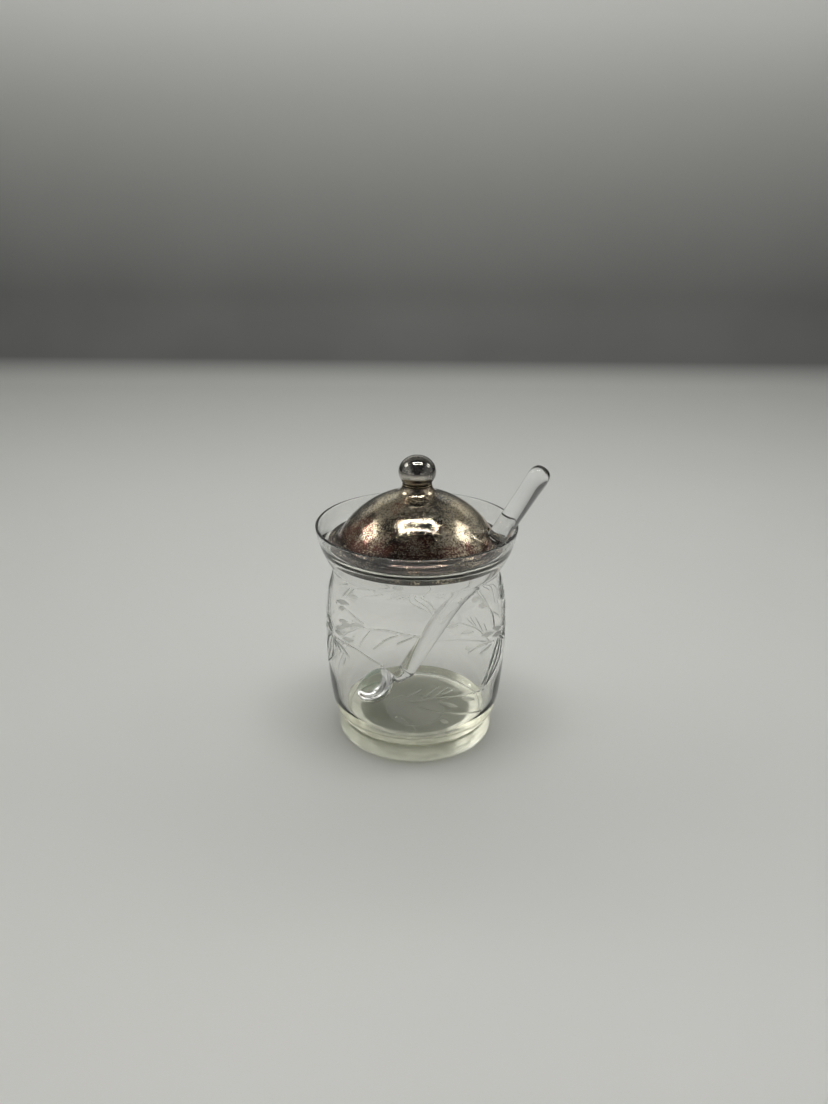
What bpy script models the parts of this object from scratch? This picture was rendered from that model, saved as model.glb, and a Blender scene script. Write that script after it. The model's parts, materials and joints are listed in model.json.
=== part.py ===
"""Covered glass pot: a cut-glass jar, a domed silver-plated lid with a ball finial, and a glass spoon.

Frame: metres, +Z up, origin at the centre of the jar's flat base. The spoon leans towards +X and
comes out through a notch in the lid. Sizes below are in millimetres and are scaled by MM.
"""

import math

import bmesh
import bpy
from mathutils import Matrix, Vector

MM = 0.001
GAP = 0.3  # clearance kept between neighbouring solids

# --- jar -------------------------------------------------------------------------------------
RIM_R = 37.0
RIM_Z = 83.7
BASE_R = 29.4
FLOOR_Z = 6.0
LIP_ROUND = 0.5
# (radius, height) stations of the outside, from the foot's crease up to the lip
JAR_OUTSIDE = [
    (29.3, 6.9), (31.1, 9.2), (32.2, 12.6), (33.2, 19.0), (34.0, 29.0),
    (34.35, 40.0), (33.9, 51.0), (33.0, 58.6), (31.9, 62.6), (30.95, 65.6),
    (31.4, 68.0), (33.3, 71.4), (35.0, 75.0), (36.3, 79.0), (36.85, 81.8),
]
WALL = 1.6
WALL_LOW_Z, WALL_TOP_Z = 23.0, 70.0  # between these the inside runs parallel to the outside
# the inside from the lip down over the ledge that carries the lid, and from the wall down to the floor
JAR_LEDGE = [(35.5, 80.0), (34.8, 77.8), (33.5, 76.15), (32.0, 75.7), (31.3, 73.2)]
JAR_HEEL = [(31.2, 18.6), (30.2, 13.8), (28.4, 10.0), (26.0, 7.6), (23.2, 6.4)]

# --- lid -------------------------------------------------------------------------------------
SHEET = 0.8  # thickness of the spun metal
FLANGE_R = 32.6
FLANGE_Z = 77.2  # top of the flange at its edge
DOME_R = 32.8  # radius of the spherical crown
DOME_CENTRE_Z = 63.0
COVE_R = 3.8  # fillet between crown and flange
NECK_TOP_Z = 97.8
NECK_FLARE = [(5.4, NECK_TOP_Z), (6.0, 96.55), (6.85, 95.55), (8.2, 94.85)]  # down to the crown
CROWN_TOP_R = 10.4  # where the neck's flare has run out into the crown
BEZEL_R = 29.6
BEZEL_DEPTH = 4.0

# --- finial ----------------------------------------------------------------------------------
BALL_R = 6.8
BALL_HALF_HEIGHT = 6.0
BALL_Z = 102.8
BALL_SEAT_Z = 98.9
STUD_R = 1.6
STUD_LOW_Z = 88.2
STUD_TOP_Z = 103.2
WASHER_R = 9.3
WASHER_TOP_Z = 93.0
WASHER_T = 1.0
NUT_ACROSS_FLATS = 7.0
NUT_T = 2.6

# --- spoon, in its own upright plane ---------------------------------------------------------
SPOON_SEAT = (-3.9, 3.5, 19.0)  # centre of the handle's lower end
SPOON_AZIMUTH_DEG = -13.7  # direction of the lean, about +Z from +X
SPOON_LEAN_DEG = 29.3  # from the vertical
SPOON_ROLL_DEG = 27.0  # the bowl's turn about the handle's axis
HANDLE_LENGTH = 97.0  # from the seat to the centre of the rounded end
HANDLE_LOW_R = 3.2
HANDLE_MID_R = 3.55
HANDLE_TOP_R = 3.7
KNOB_R = 4.0
BOWL_CENTRE = (-12.9, -5.6)  # of the mouth, from the seat: along the lean and up
BOWL_TILT_DEG = 29.0
BOWL_MOUTH_R = 7.7
BOWL_DEPTH = 3.7
BOWL_WALL = 1.1
NECK_TOP_R = 2.4
NECK_LOW_R = 1.0
NOTCH_R = 4.6

SEGMENTS = 40
SMALL_SEGMENTS = 24


def clear_scene():
    for obj in list(bpy.data.objects):
        bpy.data.objects.remove(obj)


def material(name, colour, roughness, metallic=0.0, transmission=0.0):
    made = bpy.data.materials.new(name)
    made.use_nodes = True
    shader = made.node_tree.nodes["Principled BSDF"]
    shader.inputs["Base Color"].default_value = (*colour, 1.0)
    shader.inputs["Roughness"].default_value = roughness
    shader.inputs["Metallic"].default_value = metallic
    shader.inputs["Transmission Weight"].default_value = transmission
    return made


def spline(stations, steps):
    """Points of a Catmull-Rom curve through the stations, both ends included."""
    ends = [2 * Vector(stations[0]) - Vector(stations[1]), 2 * Vector(stations[-1]) - Vector(stations[-2])]
    knots = [ends[0], *map(Vector, stations), ends[1]]
    points = []
    for before, start, end, after in zip(knots, knots[1:], knots[2:], knots[3:]):
        for i in range(steps):
            t = i / steps
            points.append(0.5 * (
                2 * start + (end - before) * t
                + (2 * before - 5 * start + 4 * end - after) * t**2
                + (3 * start - before - 3 * end + after) * t**3
            ))
    return [tuple(p) for p in points] + [tuple(stations[-1])]


def arc(centre, radius, from_deg, to_deg, steps):
    """Points of a circular arc in the (radius, height) plane."""
    angles = [math.radians(from_deg + (to_deg - from_deg) * i / steps) for i in range(steps + 1)]
    return [(centre[0] + radius * math.cos(a), centre[1] + radius * math.sin(a)) for a in angles]


def turned(name, profile, segments, closed=True):
    """A solid of revolution about Z. The profile is a list of (radius, height); a profile that isn't
    a closed loop starts and ends on the axis."""
    bm = bmesh.new()
    points = [bm.verts.new((r * MM, 0.0, z * MM)) for r, z in profile]
    edges = [bm.edges.new(pair) for pair in zip(points, points[1:])]
    if closed:
        edges.append(bm.edges.new((points[-1], points[0])))
    bmesh.ops.spin(
        bm, geom=[*points, *edges], axis=(0, 0, 1), cent=(0, 0, 0),
        steps=segments, angle=2 * math.pi, use_merge=True,
    )
    bmesh.ops.remove_doubles(bm, verts=bm.verts, dist=1e-6)
    bmesh.ops.recalc_face_normals(bm, faces=bm.faces)
    return finish(name, bm)


def finish(name, bm):
    """Puts a bmesh in the scene as one smooth-shaded object."""
    mesh = bpy.data.meshes.new(name)
    bm.to_mesh(mesh)
    bm.free()
    mesh.shade_smooth()
    mesh.set_sharp_from_angle(angle=math.radians(40))
    obj = bpy.data.objects.new(name, mesh)
    bpy.context.scene.collection.objects.link(obj)
    return obj


def combine(obj, tool, operation):
    """Adds the tool to the object or takes it away, and hides the tool itself."""
    boolean = obj.modifiers.new(tool.name, "BOOLEAN")
    boolean.operation = operation
    boolean.solver = "EXACT"
    boolean.object = tool
    tool.hide_render = True
    tool.display_type = "WIRE"


def offset(points, distance):
    """The line through the points, moved to its right-hand side."""
    moved = []
    for i, (r, z) in enumerate(points):
        before, after = points[max(i - 1, 0)], points[min(i + 1, len(points) - 1)]
        dr, dz = after[0] - before[0], after[1] - before[1]
        length = math.hypot(dr, dz)
        moved.append((r + distance * dz / length, z - distance * dr / length))
    return moved


def box(inner_r, outer_r, low, top):
    """The square section of a plain ring."""
    return [(inner_r, low), (outer_r, low), (outer_r, top), (inner_r, top)]


def make_jar():
    foot = [(0.0, 0.0), (BASE_R, 0.0), (30.0, 0.6), (30.1, 1.8), (29.9, 5.4)]
    outside = spline(JAR_OUTSIDE, 3)
    lip = arc((RIM_R - LIP_ROUND, RIM_Z - LIP_ROUND), LIP_ROUND, 0, 180, 4)
    wall = [p for p in reversed(offset(outside, -WALL)) if WALL_LOW_Z < p[1] < WALL_TOP_Z]
    floor = [(20.8, FLOOR_Z + 0.03), (0.0, FLOOR_Z)]
    profile = [*foot, *outside, *lip, *spline(JAR_LEDGE, 2), *wall, *spline(JAR_HEEL, 2), *floor]
    return turned("jar_body", profile, SEGMENTS, closed=False)


def lid_outside():
    """The outside of the lid from the neck's top, over the crown and the cove, to the flange."""
    cove_z = FLANGE_Z + 0.5 + COVE_R
    cove_r = math.sqrt((DOME_R + COVE_R) ** 2 - (cove_z - DOME_CENTRE_Z) ** 2)
    crown_to = math.atan2(cove_z - DOME_CENTRE_Z, cove_r)
    crown_from = math.acos(CROWN_TOP_R / DOME_R)
    return [
        *spline(NECK_FLARE, 2),
        *arc((0.0, DOME_CENTRE_Z), DOME_R, math.degrees(crown_from), math.degrees(crown_to), 8),
        *arc((cove_r, cove_z), COVE_R, math.degrees(crown_to) + 180, 270, 4)[1:],
    ]


def make_lid_dome():
    edge = SHEET / 2
    rolled_edge = arc((FLANGE_R - edge, FLANGE_Z - edge), edge, 80, -80, 4)
    outside = lid_outside()
    inside = offset(outside, SHEET)
    inside[0] = (outside[0][0] - SHEET, NECK_TOP_Z - SHEET)
    hole_r = STUD_R + GAP
    profile = [
        (hole_r, NECK_TOP_Z), *outside, *rolled_edge, *reversed(inside), (hole_r, NECK_TOP_Z - SHEET),
    ]
    return turned("lid_dome", profile, SEGMENTS)


def make_lid_bezel():
    top = FLANGE_Z + 0.5 - SHEET - GAP
    low = top - BEZEL_DEPTH
    inner = BEZEL_R - SHEET
    return turned("lid_bezel", box(inner, BEZEL_R, low, top), SEGMENTS)


def make_finial():
    seat_deg = math.degrees(math.asin((BALL_SEAT_Z - BALL_Z) / BALL_HALF_HEIGHT))
    socket_r = STUD_R + GAP
    squash = BALL_HALF_HEIGHT / BALL_R
    outline = [(r, BALL_Z + z * squash) for r, z in arc((0.0, 0.0), BALL_R, seat_deg, 90, 9)]
    socket = [(0.0, STUD_TOP_Z + GAP), (socket_r, STUD_TOP_Z + GAP), (socket_r, BALL_SEAT_Z)]
    ball = turned("finial_ball", [*socket, *outline], SMALL_SEGMENTS, closed=False)

    low, top = NECK_TOP_Z + GAP, BALL_SEAT_Z - GAP
    ring = [(socket_r, low), (5.2, low), (5.4, (low + top) / 2), (5.2, top), (socket_r, top)]
    collar = turned("finial_collar", ring, SMALL_SEGMENTS)

    tip_r = STUD_R - 0.4
    lower_end = [(0.0, STUD_LOW_Z), (tip_r, STUD_LOW_Z), (STUD_R, STUD_LOW_Z + 0.4)]
    upper_end = [(STUD_R, STUD_TOP_Z - 0.4), (tip_r, STUD_TOP_Z), (0.0, STUD_TOP_Z)]
    stud = turned("finial_stud", [*lower_end, *upper_end], SMALL_SEGMENTS, closed=False)

    washer_low = WASHER_TOP_Z - WASHER_T
    washer = turned("finial_washer", box(socket_r, WASHER_R, washer_low, WASHER_TOP_Z), SMALL_SEGMENTS)
    nut_top = washer_low - GAP
    nut = turned("finial_nut", box(socket_r, NUT_ACROSS_FLATS / math.sqrt(3), nut_top - NUT_T, nut_top), 6)
    return ball, collar, stud, washer, nut


def spoon_frame():
    """World matrix of the spoon's upright plane: origin at the seat, +X along the lean."""
    seat = Vector(SPOON_SEAT) * MM
    return Matrix.Translation(seat) @ Matrix.Rotation(math.radians(SPOON_AZIMUTH_DEG), 4, "Z")


def make_handle(frame):
    tip = arc((0.0, HANDLE_LENGTH), KNOB_R, -10, 90, 5)
    shaft_top = HANDLE_LENGTH - 8.0
    shaft = spline([(HANDLE_LOW_R, 1.6), (3.4, 22.0), (HANDLE_MID_R, 48.0), (HANDLE_TOP_R, shaft_top)], 2)
    handle = turned("spoon_handle", [(0.0, 0.0), (2.0, 0.2), *shaft, *tip], SMALL_SEGMENTS, closed=False)
    handle.parent = frame
    handle.rotation_euler = (0.0, math.radians(SPOON_LEAN_DEG), 0.0)
    return handle


def make_neck(frame):
    """The thin bent neck between the handle and the bowl, swept along a quadratic curve."""
    lean, tilt = math.radians(SPOON_LEAN_DEG), math.radians(BOWL_TILT_DEG)
    along_handle = Vector((math.sin(lean), 0.0, math.cos(lean)))
    along_mouth = Vector((math.cos(tilt), 0.0, math.sin(tilt)))
    below_mouth = Vector((math.sin(tilt), 0.0, -math.cos(tilt)))
    start = -GAP * along_handle
    bend = start - 2.6 * along_handle
    end = Vector((BOWL_CENTRE[0], 0.0, BOWL_CENTRE[1]))
    end += 0.72 * BOWL_MOUTH_R * along_mouth + 0.74 * BOWL_DEPTH * below_mouth
    steps, sides = 6, 12
    bm = bmesh.new()
    rings = []
    for i in range(steps + 1):
        t = i / steps
        centre = (1 - t) ** 2 * start + 2 * t * (1 - t) * bend + t**2 * end
        ahead = ((1 - t) * (bend - start) + t * (end - bend)).normalized()
        across = Vector((0.0, 1.0, 0.0))
        up = ahead.cross(across)
        radius = NECK_TOP_R + (NECK_LOW_R - NECK_TOP_R) * t
        angles = [2 * math.pi * k / sides for k in range(sides)]
        outline = [centre + radius * (math.cos(a) * across + math.sin(a) * up) for a in angles]
        rings.append([bm.verts.new(point * MM) for point in outline])
    for ring, following in zip(rings, rings[1:]):
        for k in range(sides):
            bm.faces.new((ring[k], ring[(k + 1) % sides], following[(k + 1) % sides], following[k]))
    bm.faces.new(rings[0])
    bm.faces.new(rings[-1])
    bmesh.ops.recalc_face_normals(bm, faces=bm.faces)
    neck = finish("neck_stock", bm)
    neck.parent = frame
    return neck


def make_bowl(frame):
    """The bowl is a shallow cap of a sphere, joined to the neck and then hollowed."""
    inner_r = (BOWL_MOUTH_R**2 + BOWL_DEPTH**2) / (2 * BOWL_DEPTH)
    centre_z = inner_r - BOWL_DEPTH
    mouth_deg = math.degrees(math.asin(-centre_z / inner_r))
    rim = arc((BOWL_MOUTH_R + BOWL_WALL / 2, 0.0), BOWL_WALL / 2, -20, 160, 4)
    cap = [*arc((0.0, centre_z), inner_r + BOWL_WALL, -90, mouth_deg, 7), *rim, (0.0, 0.0)]
    bowl = turned("spoon_bowl", cap, SMALL_SEGMENTS, closed=False)
    inner_ball = arc((0.0, centre_z), inner_r, -90, 90, 14)
    hollow = turned("hollow_cutter", inner_ball, SMALL_SEGMENTS, closed=False)
    for obj in (bowl, hollow):
        obj.parent = frame
        obj.location = (BOWL_CENTRE[0] * MM, 0.0, BOWL_CENTRE[1] * MM)
        obj.rotation_euler = (0.0, -math.radians(BOWL_TILT_DEG), 0.0)
    combine(bowl, make_neck(frame), "UNION")
    combine(bowl, hollow, "DIFFERENCE")
    return bowl


def make_spoon():
    """The handle and the bowl. Their empty sits at the seat, so the spoon draws out along the handle."""
    frame = bpy.data.objects.new("spoon_frame", None)
    bpy.context.scene.collection.objects.link(frame)
    lean = Matrix.Rotation(math.radians(SPOON_LEAN_DEG), 4, "Y")
    roll = Matrix.Rotation(math.radians(SPOON_ROLL_DEG), 4, "Z")
    frame.matrix_world = spoon_frame() @ lean @ roll @ lean.inverted()
    return make_handle(frame), make_bowl(frame)


def make_notch_cutter():
    """A tilted slot around the handle, open outwards so that the lid lifts straight off."""
    reach, length, steps = 24.0, 46.0, 10
    outline = [*arc((0.0, 0.0), NOTCH_R, 90, 270, steps), (reach, -NOTCH_R), (reach, NOTCH_R)]
    bm = bmesh.new()
    face = bm.faces.new([bm.verts.new((x * MM, y * MM, 0.0)) for x, y in outline])
    extruded = bmesh.ops.extrude_face_region(bm, geom=[face])["geom"]
    moved = [v for v in extruded if isinstance(v, bmesh.types.BMVert)]
    bmesh.ops.translate(bm, verts=moved, vec=(0.0, 0.0, length * MM))
    bmesh.ops.recalc_face_normals(bm, faces=bm.faces)
    cutter = finish("notch_cutter", bm)
    below_lid = 50.0
    lean = Matrix.Rotation(math.radians(SPOON_LEAN_DEG), 4, "Y")
    cutter.matrix_world = spoon_frame() @ lean @ Matrix.Translation((0, 0, below_lid * MM))
    return cutter


def glass(name):
    return material(name, (0.93, 0.95, 0.90), 0.02, transmission=1.0)


def silver(name, roughness):
    return material(name, (0.60, 0.55, 0.47), roughness, metallic=1.0)


def brass(name, roughness):
    return material(name, (0.70, 0.55, 0.30), roughness, metallic=1.0)


def main():
    clear_scene()
    jar = make_jar()
    dome = make_lid_dome()
    bezel = make_lid_bezel()
    ball, collar, stud, washer, nut = make_finial()
    handle, bowl = make_spoon()
    cutter = make_notch_cutter()
    combine(dome, cutter, "DIFFERENCE")
    combine(bezel, cutter, "DIFFERENCE")
    looks = {
        jar: glass("jar_glass"),
        dome: silver("lid_silver", 0.25),
        bezel: silver("bezel_silver", 0.35),
        ball: material("ball_silver", (0.62, 0.61, 0.60), 0.12, metallic=1.0),
        collar: silver("collar_silver", 0.3),
        stud: brass("stud_brass", 0.4),
        washer: brass("washer_brass", 0.4),
        nut: brass("nut_brass", 0.35),
        handle: glass("handle_glass"),
        bowl: glass("bowl_glass"),
    }
    for obj, look in looks.items():
        obj.data.materials.append(look)


main()
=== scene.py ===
import json
import math

import bmesh
import bpy
import numpy as np
from mathutils import Matrix, Vector


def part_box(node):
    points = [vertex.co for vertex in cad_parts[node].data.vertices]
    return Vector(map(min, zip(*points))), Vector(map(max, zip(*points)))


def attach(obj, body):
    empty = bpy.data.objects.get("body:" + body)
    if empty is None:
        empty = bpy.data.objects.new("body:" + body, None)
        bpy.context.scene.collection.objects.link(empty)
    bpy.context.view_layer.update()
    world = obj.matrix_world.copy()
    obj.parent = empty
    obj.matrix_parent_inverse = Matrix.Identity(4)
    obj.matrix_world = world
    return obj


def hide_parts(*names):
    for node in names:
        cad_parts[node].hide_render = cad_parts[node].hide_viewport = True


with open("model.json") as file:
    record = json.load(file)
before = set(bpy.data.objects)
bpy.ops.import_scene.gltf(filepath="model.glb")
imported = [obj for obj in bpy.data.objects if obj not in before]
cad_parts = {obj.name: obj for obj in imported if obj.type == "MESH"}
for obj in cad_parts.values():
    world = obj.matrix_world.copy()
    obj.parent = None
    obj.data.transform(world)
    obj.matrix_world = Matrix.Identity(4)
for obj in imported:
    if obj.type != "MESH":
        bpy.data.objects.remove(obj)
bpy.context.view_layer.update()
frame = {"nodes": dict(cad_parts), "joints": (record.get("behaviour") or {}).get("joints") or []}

MM = 0.001

# --- jar: (radius, height) stations in millimetres -------------------------------------------
JAR_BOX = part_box("jar_body")
RIM_R = JAR_BOX[1][0] / MM
RIM_Z = JAR_BOX[1][2] / MM
LIP_ROUND = 0.5
LIP_MATTE, LIP_MATTE_DEPTH = 0.35, 0.3  # the ground and polished lip stays a little dull
GROUND_R = 12.0  # the base is ground outside this radius
BASE_MATTE = 1.2  # above the cuts' 0 to 1: ground all over, so it also scatters light through
FLOOR_Z = 6.0
FOOT_EDGE = (29.2, 0.9)  # centre of the round bottom edge, whose radius is its height
FOOT_WALL = [(30.1, 2.4), (30.0, 4.6), (29.8, 5.7), (29.4, 6.4)]
JAR_OUTSIDE = [(29.3, 6.9), (31.1, 9.2), (32.2, 12.6), (33.2, 19.0), (34.0, 29.0), (34.35, 40.0),
               (33.9, 51.0), (33.0, 58.6), (31.9, 62.6), (30.95, 65.6), (31.4, 68.0), (33.3, 71.4),
               (35.0, 75.0), (36.3, 79.0), (36.85, 81.8), (RIM_R, RIM_Z - LIP_ROUND)]
WALL = 1.6
WALL_LOW_Z, WALL_TOP_Z = 23.0, 70.0  # between these the inside runs parallel to the outside
JAR_LEDGE = [(RIM_R - 2 * LIP_ROUND, RIM_Z - LIP_ROUND), (35.5, 80.0), (34.8, 77.8), (33.5, 76.15),
             (32.0, 75.7), (31.3, 73.2)]
JAR_HEEL = [(31.2, 18.6), (30.2, 13.8), (28.4, 10.0), (26.0, 7.6), (23.2, 6.4), (20.8, FLOOR_Z + 0.03),
            (18.5, FLOOR_Z)]
COLUMNS = 196  # around the jar
CUT_LOW, CUT_HIGH, CUT_ROWS = 14.0, 70.0, 51  # the band of wall that carries the cut sprays
SEAM = 0.3  # least gap beside the cut band, and between the flat base and its round edge
SPRAY_AZIMUTHS = (-154.0, -25.0, 92.0)
SPRAY_Z = 47.0
FINE = 4  # the cut cells are split this many ways each way
WALL_R = 34.0  # radius at which lengths along the wall are counted

# --- lid ---------------------------------------------------------------------------------------
SHEET = 0.8
FLANGE_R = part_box("lid_dome")[1][1] / MM
FLANGE_Z = 77.2
DOME_R = 32.8
DOME_CENTRE_Z = 63.0
COVE_R = 3.8
NECK_TOP_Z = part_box("lid_dome")[1][2] / MM
NECK_FLARE = [(5.4, NECK_TOP_Z), (6.0, 96.55), (6.85, 95.55), (8.2, 94.85)]
CROWN_TOP_R = 10.4
STUD_HOLE_R = 1.9
LATHE_SEGMENTS = 192

# --- spoon -------------------------------------------------------------------------------------
SPOON_SEAT = (-3.9, 3.5, 19.0)
HANDLE_LENGTH = 97.0
SPOON_ROLL_DEG = 27.0  # the bowl's turn about the handle's axis
BOWL_CENTRE = (-12.9, -5.6)
BOWL_TILT_DEG = 29.0
NOTCH_R = 4.6
# the bowl from the inside's middle, over the rim, to the outside's middle: (radius, height) about its mouth
BOWL_STATIONS = [(2.85, -3.25), (5.4, -2.2), (7.1, -0.75), (7.7, 0.35), (8.45, 0.38), (8.6, -0.8),
                 (7.65, -2.6), (5.5, -4.05), (2.85, -4.75)]
BOWL_POLES = (-3.5, -4.85)
# the neck from the bowl to the handle: (share of the way down, half width, half height)
NECK_STATIONS = [(0.93, 2.9, 2.0), (0.62, 2.35, 2.15), (0.3, 2.3, 2.3), (0.08, 2.4, 2.4)]
NECK_BEND = 2.9  # the neck first runs on this far in line with the handle
NECK_ROOT = (8.6, 1.2)  # where the neck meets the bowl: out along its mouth, and down from it
# the handle: (distance along it, radius)
HANDLE_STATIONS = [(-0.25, 2.6), (-0.1, 3.05), (0.35, 3.3), (1.6, 3.22), (8.0, 3.28), (22.0, 3.42),
                   (48.0, 3.55), (75.0, 3.66), (HANDLE_LENGTH - 6.5, 3.72), (HANDLE_LENGTH - 2.4, 3.98),
                   (HANDLE_LENGTH + 1.2, 3.92), (HANDLE_LENGTH + 3.4, 2.7)]
HANDLE_TIP = HANDLE_LENGTH + 4.0

# --- ball --------------------------------------------------------------------------------------
BALL_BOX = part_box("finial_ball")
BALL_HALF_HEIGHT = 6.0
BALL_Z = BALL_BOX[1][2] / MM - BALL_HALF_HEIGHT

# --- camera, matched to the photograph ---------------------------------------------------------
CAMERA_PLACE = (0.0, -0.2853, 0.1876)
CAMERA_PITCH, CAMERA_YAW, CAMERA_ROLL = 22.1, 0.19, 0.46
CAMERA_LENS, CAMERA_SENSOR = 27.03, 36.0


# ---------------------------------------------------------------------------------------------
# geometry helpers
# ---------------------------------------------------------------------------------------------
def spline(stations, steps):
    """Points of a Catmull-Rom curve through the stations, both ends included."""
    ends = [2 * Vector(stations[0]) - Vector(stations[1]), 2 * Vector(stations[-1]) - Vector(stations[-2])]
    knots = [ends[0], *map(Vector, stations), ends[1]]
    points = []
    for before, start, end, after in zip(knots, knots[1:], knots[2:], knots[3:]):
        for i in range(steps):
            t = i / steps
            points.append(0.5 * (
                2 * start + (end - before) * t
                + (2 * before - 5 * start + 4 * end - after) * t**2
                + (3 * start - before - 3 * end + after) * t**3
            ))
    return [tuple(p) for p in points] + [tuple(stations[-1])]


def arc(centre, radius, from_deg, to_deg, steps):
    angles = [math.radians(from_deg + (to_deg - from_deg) * i / steps) for i in range(steps + 1)]
    return [(centre[0] + radius * math.cos(a), centre[1] + radius * math.sin(a)) for a in angles]


def offset(points, distance):
    """The line through the points, moved to its right-hand side."""
    moved = []
    for i, (r, z) in enumerate(points):
        before, after = points[max(i - 1, 0)], points[min(i + 1, len(points) - 1)]
        dr, dz = after[0] - before[0], after[1] - before[1]
        length = math.hypot(dr, dz)
        moved.append((r + distance * dz / length, z - distance * dr / length))
    return moved


def eased(points, passes=160):
    """The line through the points with its changes of curvature spread out, both ends kept."""
    line = np.array(points)
    for _ in range(passes):
        line[1:-1] = (line[:-2] + 2 * line[1:-1] + line[2:]) / 4
    return [tuple(p) for p in line]


def add_object(name, mesh, sharp_deg=40):
    mesh.shade_smooth()
    if sharp_deg:
        mesh.set_sharp_from_angle(angle=math.radians(sharp_deg))
    obj = bpy.data.objects.new(name, mesh)
    bpy.context.scene.collection.objects.link(obj)
    return obj


def from_bmesh(name, bm, sharp_deg=40):
    bmesh.ops.recalc_face_normals(bm, faces=bm.faces)
    mesh = bpy.data.meshes.new(name)
    bm.to_mesh(mesh)
    bm.free()
    return add_object(name, mesh, sharp_deg)


def turned(name, profile, segments, closed=True):
    """A solid of revolution about Z through (radius, height) points in millimetres."""
    bm = bmesh.new()
    points = [bm.verts.new((r * MM, 0.0, z * MM)) for r, z in profile]
    edges = [bm.edges.new(pair) for pair in zip(points, points[1:])]
    if closed:
        edges.append(bm.edges.new((points[-1], points[0])))
    bmesh.ops.spin(
        bm, geom=[*points, *edges], axis=(0, 0, 1), cent=(0, 0, 0),
        steps=segments, angle=2 * math.pi, use_merge=True,
    )
    bmesh.ops.remove_doubles(bm, verts=bm.verts, dist=1e-6)
    return from_bmesh(name, bm)


def apply_modifiers(obj):
    """Bakes the object's modifiers into its mesh."""
    evaluated = obj.evaluated_get(bpy.context.evaluated_depsgraph_get())
    mesh = bpy.data.meshes.new_from_object(evaluated)
    obj.modifiers.clear()
    old = obj.data
    obj.data = mesh
    bpy.data.meshes.remove(old)


# ---------------------------------------------------------------------------------------------
# the wheel-cut sprays
# ---------------------------------------------------------------------------------------------
def stroke(points, width, depth, matte, taper):
    """One cut of the wheel through (millimetres along the wall, height) points. Its ends are finer with
    a higher taper."""
    line = np.array(spline(points, 6))
    return {"points": line, "width": width, "depth": depth, "matte": matte, "taper": taper}


def motif():
    """One spray about its node, and the sprig that hangs from its left side."""
    cuts = []

    def needles(*runs, width=0.7, depth=0.26, matte=0.85):
        cuts.extend(stroke(run, width, depth, matte, 0.5) for run in runs)

    def leaves(*runs, width=1.9, depth=0.2):
        cuts.extend(stroke(run, width, depth, 1.0, 0.9) for run in runs)

    leaves([(2.4, 0.7), (8.5, 1.5)], [(7.8, -0.1), (11.0, 0.6), (14.6, 1.6)], [(3.3, 2.6), (8.1, 3.8)])
    leaves([(5.3, 6.0), (10.9, 7.3)], [(5.5, 2.9), (9.4, 5.6), (13.2, 7.0)],
           [(11.5, 6.6), (15.4, 7.7), (19.3, 7.6)])
    needles([(-1.2, -1.7), (4.7, -5.5)], [(1.7, -2.0), (7.7, -5.6)],
            [(4.2, -2.6), (8.1, -3.6), (12.2, -6.0)], width=0.8)
    needles([(1.7, -1.8), (8.6, -1.3), (15.6, -1.6), (20.7, -3.1), (25.7, -4.7)])
    needles([(19.3, 7.6), (27.3, 8.5), (33.6, 7.9), (40.7, 7.1)], [(21.7, 7.7), (18.5, 3.2), (16.3, -1.2)])
    needles([(32.6, 7.6), (27.5, 5.2), (22.3, 0.3)], [(37.2, 7.1), (33.7, 5.4), (31.0, 3.9)])

    # the upper sprig on its short stem
    leaves([(8.2, 16.0), (14.3, 17.2)], [(1.7, 12.0), (6.2, 13.2), (10.7, 13.7)], [(4.3, 10.4), (8.8, 11.6)])
    leaves([(5.2, 14.6), (9.3, 19.4)], [(7.1, 15.1), (12.1, 20.0)], width=1.2)
    needles([(8.8, 11.8), (14.1, 10.3), (19.1, 8.9)], width=0.8)
    needles([(12.0, 19.7), (18.0, 21.6), (22.8, 22.2)], width=0.4)

    # the left side: leaves, two needles, and the upright stem with its leaves
    leaves([(-13.1, 3.2), (-5.7, 1.6)], [(-6.2, 3.4), (0.8, 0.8)], [(-6.5, 0.4), (0.5, -0.8)])
    needles([(-5.8, -1.6), (-14.1, -0.6), (-20.0, -1.8)], [(-6.8, -2.3), (-14.1, -3.7)], width=0.8)
    needles([(-5.3, 2.7), (-5.9, 8.4), (-8.7, 13.5)], [(-13.6, 19.7), (-8.8, 13.1)],
            [(-11.5, 19.1), (-8.0, 12.8)])
    leaves([(-13.5, 14.4), (-8.8, 13.1)], [(-16.3, 16.7), (-12.0, 16.8)])

    # the bundle of stems that falls to the lower sprig
    needles([(-1.1, -2.5), (-6.5, -7.7), (-10.4, -18.7)], [(2.1, -2.9), (0.0, -10.9), (-8.0, -17.3)],
            [(-2.5, -1.9), (-7.1, -10.4), (-12.2, -17.9)],
            [(0.3, -2.5), (-3.2, -9.5), (-9.2, -18.4)], width=0.9)
    needles([(-9.8, -20.0), (-22.7, -18.4), (-32.0, -17.5), (-37.6, -18.4), (-43.7, -18.4)])
    needles([(-41.1, -16.9), (-36.2, -13.2)], [(-36.6, -17.5), (-30.6, -13.1)],
            [(-32.5, -17.4), (-26.9, -13.7)], [(-30.0, -16.8), (-25.2, -15.3)])
    needles([(-39.1, -20.0), (-34.5, -22.0), (-22.0, -26.1), (-10.0, -29.6)], width=0.5)
    leaves([(-30.4, -19.3), (-22.3, -23.1)], [(-21.5, -19.6), (-15.0, -22.4)],
           [(-29.4, -27.2), (-25.8, -29.3)])
    return cuts


def jar_decoration():
    """The same spray at each of its places round the jar."""
    cuts = []
    for azimuth in SPRAY_AZIMUTHS:
        for cut in motif():
            cut["points"] = cut["points"] + np.array([math.radians(azimuth) * WALL_R, SPRAY_Z])
            cuts.append(cut)
    return cuts


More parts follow.
